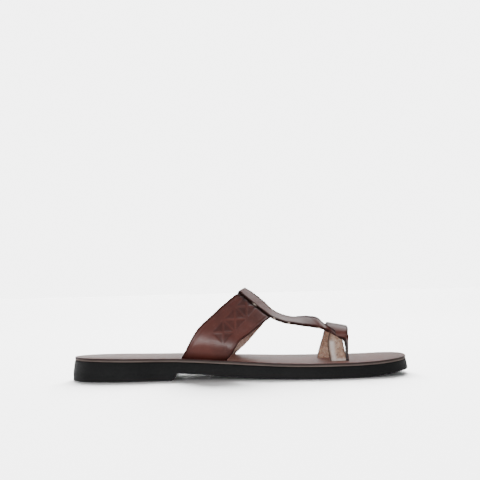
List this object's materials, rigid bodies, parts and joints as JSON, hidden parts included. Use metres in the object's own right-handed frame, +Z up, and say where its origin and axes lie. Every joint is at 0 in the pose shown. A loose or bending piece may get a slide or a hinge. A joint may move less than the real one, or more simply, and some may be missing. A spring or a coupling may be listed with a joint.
{
  "type": "toe ring sandal",
  "caption": "Flat leather sandal with a broad instep band, a strap running forward to a ring for the big toe, and a rubber sole with a low heel.",
  "frame": {"origin": "floor point under the middle of the sole's length and width", "axes": "+X from heel to toe, +Y from the inner (medial) side to the outer (lateral) side, +Z up"},
  "size_m": [0.28, 0.1024, 0.0736],
  "materials": {
    "heel_rubber": "matte, fine horizontal ribs",
    "sole_rubber": "matte, cut edge",
    "insole_leather": "semi-matte, worn grain",
    "upper_leather": "satin, tooled grain"
  },
  "bodies": {
    "root": {"heel_block": "heel_rubber", "outsole": "sole_rubber", "insole": "insole_leather", "upper": "upper_leather"}
  },
  "joints": []
}
